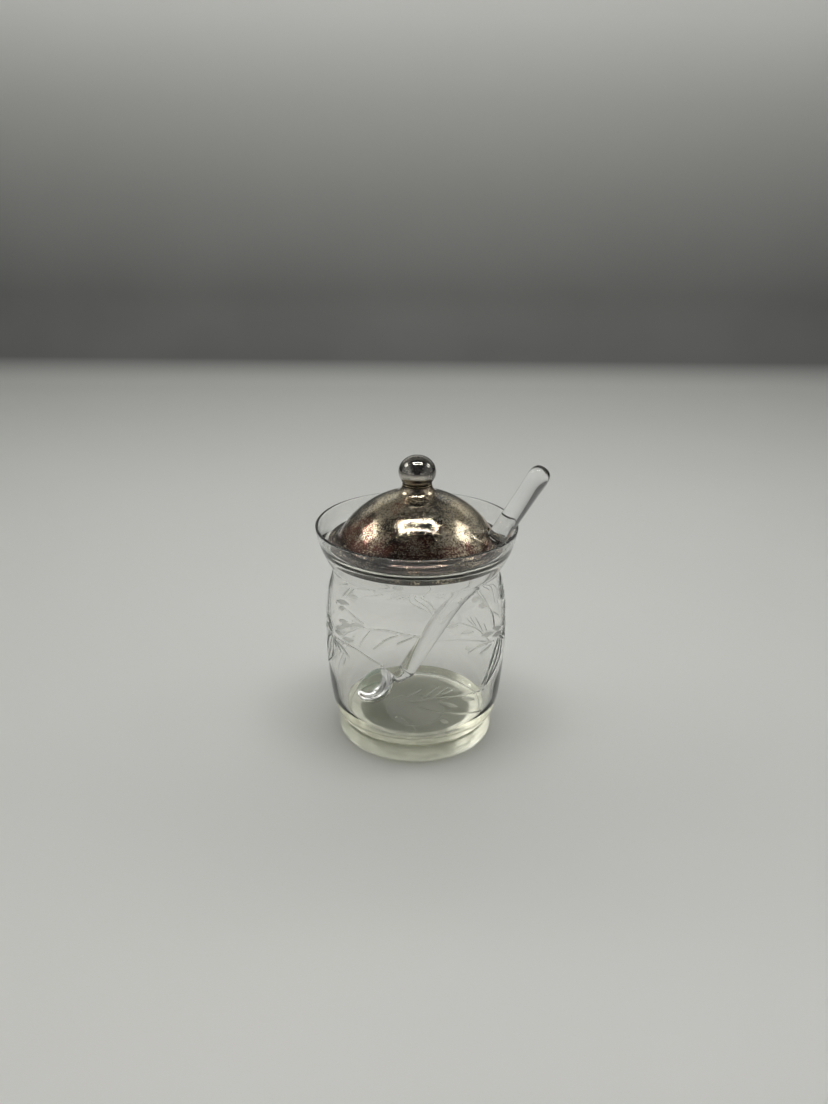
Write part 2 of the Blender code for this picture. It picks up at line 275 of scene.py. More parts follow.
def cut_field(columns, rows):
    """Depth and dullness of the cuts on a grid over the wall; rows are heights in millimetres."""
    around = 2 * math.pi * WALL_R
    depth = np.zeros((len(rows), columns))
    matte = np.zeros((len(rows), columns))
    step = around / columns
    for cut in jar_decoration():
        points, half = cut["points"], cut["width"] / 2
        lo, hi = points.min(0) - half, points.max(0) + half
        j = np.arange(math.floor(lo[0] / step), math.ceil(hi[0] / step) + 1)
        i = np.nonzero((rows >= lo[1]) & (rows <= hi[1]))[0]
        if not len(i):
            continue
        x, z = np.meshgrid(j * step, rows[i])
        best, along = np.full(x.shape, 1e9), np.zeros(x.shape)
        count = len(points) - 1
        for k, (a, b) in enumerate(zip(points, points[1:])):
            d = b - a
            t = np.clip(((x - a[0]) * d[0] + (z - a[1]) * d[1]) / (d @ d), 0, 1)
            gap = np.hypot(x - a[0] - t * d[0], z - a[1] - t * d[1])
            nearer = gap < best
            best[nearer] = gap[nearer]
            along[nearer] = (k + t[nearer]) / count
        reach = np.maximum(half * np.sin(math.pi * np.clip(along, 0.02, 0.98)) ** cut["taper"], 1e-3)
        dug = cut["depth"] * np.clip(1 - (best / reach) ** 2, 0, None)
        columns_here = np.mod(j, columns)
        place = np.ix_(i, columns_here)
        depth[place] = np.maximum(depth[place], dug)
        dulled = cut["matte"] * np.clip(1.25 - best / reach, 0, 0.5) * 2
        matte[place] = np.maximum(matte[place], dulled)
    return depth, matte


# ---------------------------------------------------------------------------------------------
# pieces
# ---------------------------------------------------------------------------------------------
def make_jar():
    """The jar as one closed mesh: the base, the cut wall, the lip and the inside."""
    outside = eased(spline(JAR_OUTSIDE, 24))
    heights = np.array([z for _, z in outside])
    radii = np.array([r for r, _ in outside])

    def wall_radius(z):
        return np.interp(z, heights, radii)

    fine_columns = COLUMNS * FINE
    fine_rows = np.linspace(CUT_LOW, CUT_HIGH, (CUT_ROWS - 1) * FINE + 1)
    depth, matte = cut_field(fine_columns, fine_rows)
    cell_cut = np.zeros((CUT_ROWS - 1, COLUMNS), bool)
    for i in range(FINE + 1):
        for j in range(FINE + 1):
            rows = np.arange(CUT_ROWS - 1) * FINE + i
            cols = (np.arange(COLUMNS) * FINE + j) % fine_columns
            cell_cut |= matte[np.ix_(rows, cols)] > 0

    bm = bmesh.new()
    ground = bm.verts.layers.float.new("cut")
    made = {}

    def wall_vert(i, j):
        j %= fine_columns
        if (i, j) not in made:
            a = 2 * math.pi * j / fine_columns
            r = wall_radius(fine_rows[i]) - depth[i, j]
            made[i, j] = bm.verts.new((r * math.cos(a) * MM, r * math.sin(a) * MM, fine_rows[i] * MM))
            made[i, j][ground] = matte[i, j]
        return made[i, j]

    for row in range(CUT_ROWS - 1):
        for col in range(COLUMNS):
            i0, j0 = row * FINE, col * FINE
            if cell_cut[row, col]:
                for i in range(i0, i0 + FINE):
                    for j in range(j0, j0 + FINE):
                        corners = ((i, j), (i, j + 1), (i + 1, j + 1), (i + 1, j))
                        bm.faces.new([wall_vert(*corner) for corner in corners])
                continue
            below = row > 0 and cell_cut[row - 1, col]
            above = row < CUT_ROWS - 2 and cell_cut[row + 1, col]
            left = cell_cut[row, (col - 1) % COLUMNS]
            right = cell_cut[row, (col + 1) % COLUMNS]
            ring = [wall_vert(i0, j0)]
            ring += [wall_vert(i0, j0 + k) for k in range(1, FINE)] if below else []
            ring += [wall_vert(i0, j0 + FINE)]
            ring += [wall_vert(i0 + k, j0 + FINE) for k in range(1, FINE)] if right else []
            ring += [wall_vert(i0 + FINE, j0 + FINE)]
            ring += [wall_vert(i0 + FINE, j0 + k) for k in range(FINE - 1, 0, -1)] if above else []
            ring += [wall_vert(i0 + FINE, j0)]
            ring += [wall_vert(i0 + k, j0) for k in range(FINE - 1, 0, -1)] if left else []
            bm.faces.new(ring)

    def ring_of(r, z, matte=0.0):
        ring = []
        for col in range(COLUMNS):
            a = 2 * math.pi * col / COLUMNS
            ring.append(bm.verts.new((r * math.cos(a) * MM, r * math.sin(a) * MM, z * MM)))
            ring[-1][ground] = matte
        return ring

    def bridge(lower, upper):
        for col in range(COLUMNS):
            after = (col + 1) % COLUMNS
            bm.faces.new((lower[col], lower[after], upper[after], upper[col]))

    def wall_ring(i):
        return [wall_vert(i, col * FINE) for col in range(COLUMNS)]

    foot = [(GROUND_R - 1.0, 0.0), (GROUND_R + 0.1, 0.0), (FOOT_EDGE[0] - SEAM, 0.0)]
    foot += [*arc(FOOT_EDGE, FOOT_EDGE[1], -90, 0, 8), *FOOT_WALL]
    foot += [p for p in outside if p[1] < CUT_LOW - SEAM]
    below = [ring_of(r, z, BASE_MATTE if GROUND_R < r and z < 0.1 else 0.0) for r, z in foot]
    centre_under = bm.verts.new((0.0, 0.0, 0.0))
    for col in range(COLUMNS):
        bm.faces.new((centre_under, below[0][(col + 1) % COLUMNS], below[0][col]))
    for lower, upper in zip(below, [*below[1:], wall_ring(0)]):
        bridge(lower, upper)

    lip = arc((RIM_R - LIP_ROUND, RIM_Z - LIP_ROUND), LIP_ROUND, 0, 180, 12)
    wall = [p for p in reversed(offset(outside, -WALL)) if WALL_LOW_Z < p[1] < WALL_TOP_Z]
    inside = eased(spline([*JAR_LEDGE, *wall[::12], *JAR_HEEL], 6), 8)
    above = [p for p in outside if p[1] > CUT_HIGH + SEAM][:-1] + lip + inside[1:]
    rings = [wall_ring(len(fine_rows) - 1)]
    rings += [ring_of(r, z, LIP_MATTE if z > RIM_Z - LIP_MATTE_DEPTH else 0.0) for r, z in above]
    for lower, upper in zip(rings, rings[1:]):
        bridge(lower, upper)
    centre_floor = bm.verts.new((0.0, 0.0, FLOOR_Z * MM))
    for col in range(COLUMNS):
        bm.faces.new((centre_floor, rings[-1][col], rings[-1][(col + 1) % COLUMNS]))
    return from_bmesh("jar_glass_body", bm, sharp_deg=None)


def lid_outside():
    """The outer line of the neck, the dome and the cove that runs out into the flange."""
    cove_z = FLANGE_Z + 0.5 + COVE_R
    cove_r = math.sqrt((DOME_R + COVE_R) ** 2 - (cove_z - DOME_CENTRE_Z) ** 2)
    crown_to = math.degrees(math.atan2(cove_z - DOME_CENTRE_Z, cove_r))
    crown_from = math.degrees(math.acos(CROWN_TOP_R / DOME_R))
    return [
        *spline(NECK_FLARE + [(CROWN_TOP_R, DOME_CENTRE_Z + math.sqrt(DOME_R**2 - CROWN_TOP_R**2))], 8),
        *arc((0.0, DOME_CENTRE_Z), DOME_R, crown_from, crown_to, 40)[1:],
        *arc((cove_r, cove_z), COVE_R, crown_to + 180, 270, 12)[1:],
    ]


def spoon_plane():
    """The spoon's upright plane: origin at the handle's lower end, +X along the lean."""
    axis = next(j["axis"] for j in frame["joints"] if j["name"] == "spoon_draw")
    azimuth = math.atan2(axis[1], axis[0])
    lean = math.atan2(math.hypot(axis[0], axis[1]), axis[2])
    return Matrix.Translation(Vector(SPOON_SEAT) * MM) @ Matrix.Rotation(azimuth, 4, "Z"), lean


def notch_cutter():
    """A slot about the handle, open to the lid's edge."""
    plane, lean = spoon_plane()
    reach, length, below_lid = 24.0, 46.0, 50.0
    outline = arc((0.0, 0.0), NOTCH_R, 90, 270, 32) + [(reach, -NOTCH_R), (reach, NOTCH_R)]
    bm = bmesh.new()
    face = bm.faces.new([bm.verts.new((x * MM, y * MM, 0.0)) for x, y in outline])
    extruded = bmesh.ops.extrude_face_region(bm, geom=[face])["geom"]
    moved = [v for v in extruded if isinstance(v, bmesh.types.BMVert)]
    bmesh.ops.translate(bm, verts=moved, vec=(0.0, 0.0, length * MM))
    cutter = from_bmesh("notch_cutter", bm)
    cutter.matrix_world = plane @ Matrix.Rotation(lean, 4, "Y") @ Matrix.Translation((0, 0, below_lid * MM))
    return cutter


def notched(obj, cutter):
    boolean = obj.modifiers.new("notch", "BOOLEAN")
    boolean.operation = "DIFFERENCE"
    boolean.solver = "EXACT"
    boolean.object = cutter
    apply_modifiers(obj)
    obj.data.shade_smooth()
    obj.data.set_sharp_from_angle(angle=math.radians(35))


def make_lid(cutter):
    edge = SHEET * 0.62  # radius of the rolled edge
    outside = lid_outside()
    bead = arc((FLANGE_R - edge, FLANGE_Z + 0.42 - edge), edge, 100, -90, 14)
    inside = offset(outside, SHEET)
    inside[0] = (outside[0][0] - SHEET, NECK_TOP_Z - SHEET)
    profile = [(STUD_HOLE_R, NECK_TOP_Z), *outside, *bead, *reversed(inside)]
    profile.append((STUD_HOLE_R, NECK_TOP_Z - SHEET))
    lid = turned("lid_shell", profile, LATHE_SEGMENTS)
    notched(lid, cutter)
    return lid


def make_bezel(cutter):
    low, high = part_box("lid_bezel")
    r, z0, z1 = high[1] / MM, low[2] / MM, high[2] / MM
    t = SHEET
    profile = [(r, z1), (r, z0 + 0.5), (r - 0.1, z0 + 0.12), (r - t / 2, z0), (r - t + 0.1, z0 + 0.12),
               (r - t, z0 + 0.5), (r - t, z1)]
    bezel = turned("lid_collar_band", profile, LATHE_SEGMENTS)
    notched(bezel, cutter)
    return bezel


def make_ball():
    low, high = BALL_BOX
    a, seat = high[0] / MM, low[2] / MM
    start = math.degrees(math.asin((seat + 0.25 - BALL_Z) / BALL_HALF_HEIGHT))
    outline = [(r, BALL_Z + z * BALL_HALF_HEIGHT / a) for r, z in arc((0.0, 0.0), a, start, 90, 40)]
    under = [(0.0, seat), (outline[0][0] - 0.45, seat), (outline[0][0] - 0.12, seat + 0.08)]
    return turned("ball_knob", [*under, *outline], 96, closed=False)


def make_seat_ring():
    low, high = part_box("finial_collar")
    r, z0, z1 = high[0] / MM, low[2] / MM, high[2] / MM
    half = (z1 - z0) / 2
    edge = arc((r - half, (z0 + z1) / 2), half, -90, 90, 10)
    return turned("ball_seat_ring", [(STUD_HOLE_R, z0), *edge, (STUD_HOLE_R, z1)], 96)


def make_spoon():
    """The whole spoon as one fused piece of glass, from a cage of quads that is then subdivided."""
    plane, lean = spoon_plane()
    along = Matrix.Rotation(lean, 4, "Y")
    plane = plane @ along @ Matrix.Rotation(math.radians(SPOON_ROLL_DEG), 4, "Z") @ along.inverted()
    tilt = math.radians(BOWL_TILT_DEG)
    sides = 16
    bm = bmesh.new()

    def bowl_point(r, z, k):
        a = 2 * math.pi * k / sides
        x, y = r * math.cos(a), r * math.sin(a)
        return (BOWL_CENTRE[0] + x * math.cos(tilt) - z * math.sin(tilt), y,
                BOWL_CENTRE[1] + x * math.sin(tilt) + z * math.cos(tilt))

    swell = 6 / (4 + 2 * math.cos(2 * math.pi / sides))  # undoes what subdividing takes off a ring
    rings = [[bm.verts.new(bowl_point(r * swell, z, k)) for k in range(sides)] for r, z in BOWL_STATIONS]
    inner_pole, outer_pole = (bm.verts.new(bowl_point(0.0, z, 0)) for z in BOWL_POLES)
    root_rows = (4, 5, 6)  # the outer rim, and the two rings under it, carry the neck's root
    for row, (ring, following) in enumerate(zip(rings, rings[1:])):
        for k in range(sides):
            after = (k + 1) % sides
            if row in (4, 5) and k in (0, sides - 1):
                continue
            bm.faces.new((ring[k], ring[after], following[after], following[k]))
    for k in range(sides):
        after = (k + 1) % sides
        bm.faces.new((inner_pole, rings[0][k], rings[0][after]))
        bm.faces.new((outer_pole, rings[-1][after], rings[-1][k]))
    top, mid, low = (rings[r] for r in root_rows)
    root = [top[-1], top[0], top[1], mid[1], low[1], low[0], low[-1], mid[-1]]
    bm.verts.remove(mid[0])

    along_handle = Vector((math.sin(lean), 0.0, math.cos(lean)))
    along_mouth = Vector((math.cos(tilt), 0.0, math.sin(tilt)))
    below_mouth = Vector((math.sin(tilt), 0.0, -math.cos(tilt)))
    start = Vector((0.0, 0.0, 0.0))
    bend = start - NECK_BEND * along_handle
    end = Vector((BOWL_CENTRE[0], 0.0, BOWL_CENTRE[1]))
    end += NECK_ROOT[0] * along_mouth + NECK_ROOT[1] * below_mouth
    round_up = 6 / (4 + 2 * math.cos(math.pi / 4))
    angles = [math.radians(a) for a in (135, 90, 45, 0, -45, -90, -135, 180)]

    def tube_ring(centre, tangent, wide, tall):
        up = Vector((-tangent.z, 0.0, tangent.x))
        across = Vector((0.0, -1.0, 0.0))
        spokes = [wide * math.cos(a) * across + tall * math.sin(a) * up for a in angles]
        return [bm.verts.new(centre + round_up * spoke) for spoke in spokes]

    tube = []
    for t, wide, tall in NECK_STATIONS:
        centre = (1 - t) ** 2 * start + 2 * t * (1 - t) * bend + t**2 * end
        tangent = -((1 - t) * (bend - start) + t * (end - bend)).normalized()
        tube.append(tube_ring(centre, tangent, wide, tall))
    for s, r in HANDLE_STATIONS:
        tube.append(tube_ring(s * along_handle, along_handle, r, r))
    for ring, following in zip([root, *tube], tube):
        for k in range(8):
            after = (k + 1) % 8
            bm.faces.new((ring[k], ring[after], following[after], following[k]))
    tip = bm.verts.new(HANDLE_TIP * along_handle)
    for k in range(8):
        bm.faces.new((tube[-1][k], tube[-1][(k + 1) % 8], tip))
    for v in bm.verts:
        v.co = plane @ (v.co * MM)
    spoon = from_bmesh("glass_spoon", bm, sharp_deg=None)
    smooth = spoon.modifiers.new("smooth", "SUBSURF")
    smooth.levels = 3
    smooth.render_levels = 3
    apply_modifiers(spoon)
    spoon.data.shade_smooth()
    return spoon


# ---------------------------------------------------------------------------------------------
# materials
# ---------------------------------------------------------------------------------------------
def new_material(name):
    made = bpy.data.materials.new(name)
    made.use_nodes = True
    tree = made.node_tree
    return made, tree, tree.nodes["Principled BSDF"], tree.nodes["Material Output"]


def node(tree, kind, **settings):
    made = tree.nodes.new(kind)
    for key, value in settings.items():
        if key in made.inputs:
            made.inputs[key].default_value = value
        else:
            setattr(made, key, value)
    return made


def math_node(tree, operation, a, b=None):
    made = tree.nodes.new("ShaderNodeMath")
    made.operation = operation
    for socket, value in zip(made.inputs, (a, b)):
        if value is None:
            continue
        if isinstance(value, (int, float)):
            socket.default_value = value
        else:
            tree.links.new(value, socket)
    return made.outputs[0]


def times(tree, a, b):
    return math_node(tree, "MULTIPLY", a, b)


def plus(tree, a, b):
    return math_node(tree, "ADD", a, b)


def distance(tree, a, b):
    return math_node(tree, "SQRT", plus(tree, times(tree, a, a), times(tree, b, b)))


def position(tree, output="Object"):
    """The shaded point as a vector, and its x, y and z."""
    place = tree.nodes.new("ShaderNodeTexCoord").outputs[output]
    axes = tree.nodes.new("ShaderNodeSeparateXYZ")
    tree.links.new(place, axes.inputs[0])
    return place, *axes.outputs


def noise(tree, vector, scale, detail=3.0, roughness=0.55, distortion=0.0):
    made = node(tree, "ShaderNodeTexNoise", Scale=scale, Detail=detail, Roughness=roughness,
                Distortion=distortion)
    tree.links.new(vector, made.inputs["Vector"])
    return made.outputs["Fac"]


def ramp(tree, factor, stops):
    made = tree.nodes.new("ShaderNodeValToRGB")
    elements = made.color_ramp.elements
    while len(elements) < len(stops):
        elements.new(0.5)
    for element, (at, colour) in zip(elements, stops):
        element.position = at
        element.color = (*colour, 1.0) if len(colour) == 3 else colour
    tree.links.new(factor, made.inputs["Fac"])
    return made.outputs["Color"]


def bumped(tree, shader, height, strength, reach):
    bump = node(tree, "ShaderNodeBump", Strength=strength, Distance=reach)
    tree.links.new(height, bump.inputs["Height"])
    tree.links.new(bump.outputs["Normal"], shader.inputs["Normal"])


def mixed_shader(tree, factor, a, b):
    made = tree.nodes.new("ShaderNodeMixShader")
    for socket, value in zip(made.inputs, (factor, a, b)):
        tree.links.new(value, socket)
    return made.outputs[0]


def map_range(tree, value, low, high, to_low=0.0, to_high=1.0):
    """Takes low..high to to_low..to_high with soft ends."""
    made = tree.nodes.new("ShaderNodeMapRange")
    made.interpolation_type = "SMOOTHSTEP"
    for socket, v in zip(made.inputs[1:5], (low, high, to_low, to_high)):
        socket.default_value = v
    tree.links.new(value, made.inputs["Value"])
    return made.outputs["Result"]


def mix_rgba(tree, factor, a, b, blend="MIX"):
    made = tree.nodes.new("ShaderNodeMix")
    made.data_type = "RGBA"
    made.blend_type = blend
    sockets = (made.inputs[0], made.inputs[6], made.inputs[7])
    for socket, value in zip(sockets, (factor, a, b)):
        if isinstance(value, (int, float)):
            socket.default_value = value
        elif isinstance(value, tuple):
            socket.default_value = (*value, 1.0)
        else:
            tree.links.new(value, socket)
    return made.outputs[2]


def let_light_through(tree, output, surface, tint):
    """Lamps and soft light pass straight through the glass with one tint, in place of its caustics."""
    path = tree.nodes.new("ShaderNodeLightPath")
    passing = math_node(tree, "MAXIMUM", path.outputs["Is Shadow Ray"], path.outputs["Is Diffuse Ray"])
    clear = tree.nodes.new("ShaderNodeBsdfTransparent")
    clear.inputs["Color"].default_value = (*tint, 1.0)
    tree.links.new(mixed_shader(tree, passing, surface, clear.outputs[0]), output.inputs["Surface"])


def glass_material(name, absorption, density, cut=False):
    """Clear glass with faint finger marks. With cut, the mesh's "cut" attribute says where it is dull."""
    smudge, tint = 0.03, (0.78, 0.785, 0.76)
    cut_roughness, cut_tone = 0.42, (0.88, 0.89, 0.86)
    scattering, scattered_tone = 0.65, (0.92, 0.93, 0.89)
    made, tree, shader, output = new_material(name)
    shader.inputs["Base Color"].default_value = (1.0, 1.0, 1.0, 1.0)
    shader.inputs["Transmission Weight"].default_value = 1.0
    shader.inputs["IOR"].default_value = 1.5
    place = tree.nodes.new("ShaderNodeTexCoord").outputs["Object"]
    marks = noise(tree, place, 90.0, detail=4.0, roughness=0.6)
    rough = map_range(tree, marks, 0.45, 0.75, 0.0, smudge)
    height = times(tree, noise(tree, place, 60.0, detail=1.0), 0.05)
    surface = shader.outputs[0]
    if cut:
        attribute = tree.nodes.new("ShaderNodeAttribute")
        attribute.attribute_name = "cut"
        ground = attribute.outputs["Fac"]
        grain = noise(tree, place, 2600.0, detail=2.0)
        rough = plus(tree, rough, times(tree, ground, cut_roughness))
        height = plus(tree, height, times(tree, times(tree, grain, ground), 0.10))
        dulled = mix_rgba(tree, ground, (1.0, 1.0, 1.0), cut_tone)
        tree.links.new(dulled, shader.inputs["Base Color"])
        frosted = tree.nodes.new("ShaderNodeBsdfTranslucent")
        frosted.inputs["Color"].default_value = (*scattered_tone, 1.0)
        scattered = map_range(tree, ground, 1.02, BASE_MATTE, 0.0, scattering)
        surface = mixed_shader(tree, scattered, surface, frosted.outputs[0])
    tree.links.new(rough, shader.inputs["Roughness"])
    bumped(tree, shader, height, 1.0, 0.0008)
    volume = tree.nodes.new("ShaderNodeVolumeAbsorption")
    volume.inputs["Color"].default_value = (*absorption, 1.0)
    volume.inputs["Density"].default_value = density
    tree.links.new(volume.outputs[0], output.inputs["Volume"])
    let_light_through(tree, output, surface, tint)
    return made


def plate_material(name, dark, brown, gold, bright, flecked, polish, stained=0.0, painted_top_shade=0.0):
    """Worn silver plate: dark polished tarnish under gold flecks, brushed rings and hair scratches.

    flecked is where flecks begin (lower gives more), polish the least roughness, stained the strength
    of the red and cool stains, and painted_top_shade how much painted shade darkens the top of the ball,
    standing in for the dark reflection of the room above it."""
    made, tree, shader, _ = new_material(name)
    shader.inputs["Metallic"].default_value = 1.0
    place, x, y, z = position(tree)
    radius = distance(tree, x, y)
    round_it = tree.nodes.new("ShaderNodeCombineXYZ")
    wander = times(tree, noise(tree, place, 60.0, detail=1.0), 0.0016)
    for value, socket in zip((radius, z, wander), round_it.inputs):
        tree.links.new(value, socket)
    rings = noise(tree, round_it.outputs[0], 1700.0, detail=2.0, roughness=0.7)
    clouds = noise(tree, place, 62.0, detail=3.0, roughness=0.55, distortion=0.5)
    patches = noise(tree, place, 210.0, detail=4.0, roughness=0.6, distortion=0.4)
    flecks = noise(tree, place, 1500.0, detail=3.0, roughness=0.72)
    specks = noise(tree, place, 3600.0, detail=2.0, roughness=0.6)
    stain = noise(tree, place, 44.0, detail=2.0, distortion=0.3)

    # how tarnished, from almost clean (0) to thick (1), and how thickly the flecks lie there
    cloudy = plus(tree, times(tree, clouds, 0.68), times(tree, patches, 0.32))
    worn = map_range(tree, cloudy, 0.40, 0.60)
    edge = map_range(tree, radius, 26.2 * MM, 29.5 * MM)  # the cove under the dome, where dirt stays
    spread = times(tree, math_node(tree, "SUBTRACT", worn, 0.5), 0.10)
    spread = math_node(tree, "SUBTRACT", spread, times(tree, edge, 0.05))
    near = plus(tree, plus(tree, times(tree, flecks, 0.62), times(tree, specks, 0.38)), spread)
    low = map_range(tree, z, 87.0 * MM, 79.0 * MM)  # the brushed rings show most low on the dome
    streak = plus(tree, times(tree, low, 0.26), 0.05)
    near = plus(tree, near, times(tree, math_node(tree, "SUBTRACT", rings, 0.5), streak))
    fleck = map_range(tree, near, flecked, flecked + 0.045)

    base = mix_rgba(tree, worn, dark, brown)
    ruddy = (1.05 * brown[0], 0.60 * brown[1], 0.62 * brown[2])
    cool = (0.62 * brown[1],) * 3
    base = mix_rgba(tree, times(tree, map_range(tree, stain, 0.50, 0.57), stained), base, ruddy)
    base = mix_rgba(tree, times(tree, map_range(tree, stain, 0.49, 0.42), stained), base, cool)
    # painted shade: the top of the ball is darkened in colour to stand for the dark reflection there
    top_shade_mask = map_range(tree, z, (BALL_Z - 1.0) * MM, (BALL_Z + 1.7) * MM)
    base = mix_rgba(tree, times(tree, top_shade_mask, painted_top_shade), base, dark)
    base = mix_rgba(tree, times(tree, edge, 0.9), base, tuple(0.7 * c for c in dark))
    base = mix_rgba(tree, fleck, base, mix_rgba(tree, patches, gold, bright))
    groove = map_range(tree, rings, 0.30, 0.48, 1.0, 0.0)
    base = mix_rgba(tree, times(tree, groove, 0.30), base, dark)
    tree.links.new(base, shader.inputs["Base Color"])

    rough = plus(tree, polish, times(tree, fleck, 1.8 * polish))
    rough = plus(tree, rough, times(tree, worn, polish))
    tree.links.new(rough, shader.inputs["Roughness"])

    wavy = noise(tree, place, 120.0, detail=0.0, roughness=0.5, distortion=3.0)
    hair = math_node(tree, "ABSOLUTE", math_node(tree, "SUBTRACT", wavy, 0.5))
    hair = map_range(tree, hair, 0.0, 0.004, 1.0, 0.0)
    height = plus(tree, times(tree, rings, 0.5), times(tree, near, 1.2))
    height = math_node(tree, "SUBTRACT", height, times(tree, hair, 0.5))
    bumped(tree, shader, height, 0.3, 0.00003)
    return made


def brass_material(name):
    made, tree, shader, _ = new_material(name)
    shader.inputs["Metallic"].default_value = 1.0
    place = tree.nodes.new("ShaderNodeTexCoord").outputs["Object"]
    clouds = noise(tree, place, 260.0, detail=4.0)
    fine = noise(tree, place, 2400.0, detail=2.0)
    tones = ramp(tree, clouds, [(0.35, (0.34, 0.22, 0.10)), (0.62, (0.66, 0.50, 0.26))])
    tree.links.new(tones, shader.inputs["Base Color"])
    tree.links.new(map_range(tree, fine, 0.3, 0.7, 0.28, 0.48), shader.inputs["Roughness"])
    bumped(tree, shader, fine, 0.2, 0.00005)
    return made


# ---------------------------------------------------------------------------------------------
# stage, light and camera
# ---------------------------------------------------------------------------------------------
def table_material():
    """Pale table and grey backdrop in one, with painted shade and light in their colour: a dark band low on
    the backdrop, a lighter front and a darker far part of the table. The light that the jar's thick heel
    would gather is painted on the table as a bright ring under the foot, brightest at its sides."""
    made, tree, shader, _ = new_material("studio_floor")
    place, x, y, z = position(tree)
    height = math_node(tree, "DIVIDE", z, 0.6)
    # painted shade and light: by height, the pale table runs into a dark band low on the backdrop, which
    # then grows lighter to the top
    tones = ((0.0, 0.66), (0.035, 0.180), (0.15, 0.240), (0.34, 0.390), (0.52, 0.575), (0.66, 0.775),
             (1.0, 0.97))
    painted_shading = ramp(tree, height, [(at, (tone, tone, 0.975 * tone)) for at, tone in tones])
    # painted light: the front of the table is lighter
    painted_shading = mix_rgba(tree, map_range(tree, y, -0.045, -0.17), painted_shading, (0.765, 0.755, 0.74))
    # painted shade: the far part of the table and the backdrop are darker
    painted_shading = mix_rgba(tree, map_range(tree, y, 0.25, 0.60), painted_shading, (0.90, 0.90, 0.90), "MULTIPLY")
    soft = map_range(tree, noise(tree, place, 6.0, detail=2.0), 0.3, 0.7, 0.0, 0.06)
    tree.links.new(mix_rgba(tree, soft, painted_shading, (0.5, 0.5, 0.49)), shader.inputs["Base Color"])
    shader.inputs["Roughness"].default_value = 0.5
    shader.inputs["Specular IOR Level"].default_value = 0.3

    foot_r, inner_r, set_back, fade = FOOT_WALL[0][0] * MM, 22.0 * MM, 3.0 * MM, 2.6 * MM
    radius = distance(tree, x, y)
    inner = distance(tree, x, math_node(tree, "SUBTRACT", y, set_back))
    ring = times(tree, map_range(tree, inner, inner_r, inner_r + fade),
                 map_range(tree, radius, foot_r, foot_r - 0.9 * MM))
    sideways = math_node(tree, "DIVIDE", x, radius)
    forward = math_node(tree, "DIVIDE", y, radius)
    left = map_range(tree, sideways, -0.40, -0.85, 0.22, 0.46)
    sides = math_node(tree, "MAXIMUM", left, map_range(tree, sideways, 0.35, 0.85))
    sides = times(tree, sides, map_range(tree, forward, 0.15, -0.30, 0.6, 1.0))
    marbled = noise(tree, place, 260.0, detail=2.0, distortion=0.6)
    streaks = map_range(tree, marbled, 0.35, 0.65, 0.45, 1.0)
    focused = times(tree, times(tree, ring, sides), streaks)
    shader.inputs["Emission Color"].default_value = (1.0, 0.985, 0.89, 1.0)
    tree.links.new(times(tree, focused, 1.35), shader.inputs["Emission Strength"])
    return made


def make_floor():
    """A table that runs back and sweeps up into a backdrop, in metres. It lies a hair below the jar."""
    half, front, back, sweep, top, gap = 2.4, -2.4, 0.80, 0.10, 2.2, 0.0001
    turn = [math.radians(90 * i / 10) for i in range(1, 11)]
    section = [(front, -gap), (back - sweep, -gap)]
    section += [(back - sweep + sweep * math.sin(a), sweep - sweep * math.cos(a) - gap) for a in turn]
    section.append((back, top))
    bm = bmesh.new()
    left = [bm.verts.new((-half, y, z)) for y, z in section]
    right = [bm.verts.new((half, y, z)) for y, z in section]
    for i in range(len(section) - 1):
        bm.faces.new((left[i], right[i], right[i + 1], left[i + 1]))
    mesh = bpy.data.meshes.new("studio_floor")
    bm.to_mesh(mesh)
    bm.free()
    floor = add_object("studio_floor", mesh)
    floor.data.materials.append(table_material())


def area_light(name, location, aim, size, energy):
    data = bpy.data.lights.new(name, "AREA")
    data.shape = "RECTANGLE"
    data.size, data.size_y = size
    data.energy = energy
    data.color = (0.99, 1.0, 0.968)
    light = bpy.data.objects.new(name, data)
    bpy.context.scene.collection.objects.link(light)
    light.location = location
    direction = Vector(aim) - Vector(location)
    light.rotation_euler = direction.to_track_quat("-Z", "Y").to_euler()
    light.visible_camera = False
    return light


def make_lights():
    """A rectangle of light strips overhead, which the silver mirrors, a soft panel at each side, and two
    panels that light without being mirrored: one overhead and a long one by the backdrop."""
    top_z, wide, watts = 0.56, 0.007, 0.30
    middle_x, half_x, front_y, back_y = 0.018, 0.170, -0.098, 0.012
    middle_y = (front_y + back_y) / 2
    across, deep = (2 * half_x, wide), (wide, back_y - front_y)
    strips = (((middle_x, front_y), across), ((middle_x, back_y), across),
              ((middle_x - half_x, middle_y), deep), ((middle_x + half_x, middle_y), deep))
    for i, ((x, y), size) in enumerate(strips):
        share = size[0] * size[1] / (across[0] * across[1])
        area_light(f"strip_{i}", (x, y, top_z), (x, y, 0.0), size, watts * share)
    fill = area_light("overhead_fill", (0.0, -0.04, top_z), (0.0, -0.04, 0.0), (0.36, 0.12), 0.74)
    fill.visible_glossy = False
    back = area_light("back_panel", (0.0, 0.56, 0.72), (0.0, 0.56, 0.0), (1.6, 0.10), 3.1)
    back.visible_glossy = False
    for side in (-1, 1):
        area_light(f"side_{side + 1}", (side * 0.42, 0.10, 0.42), (0.0, 0.0, 0.06), (0.22, 0.16), 0.22)


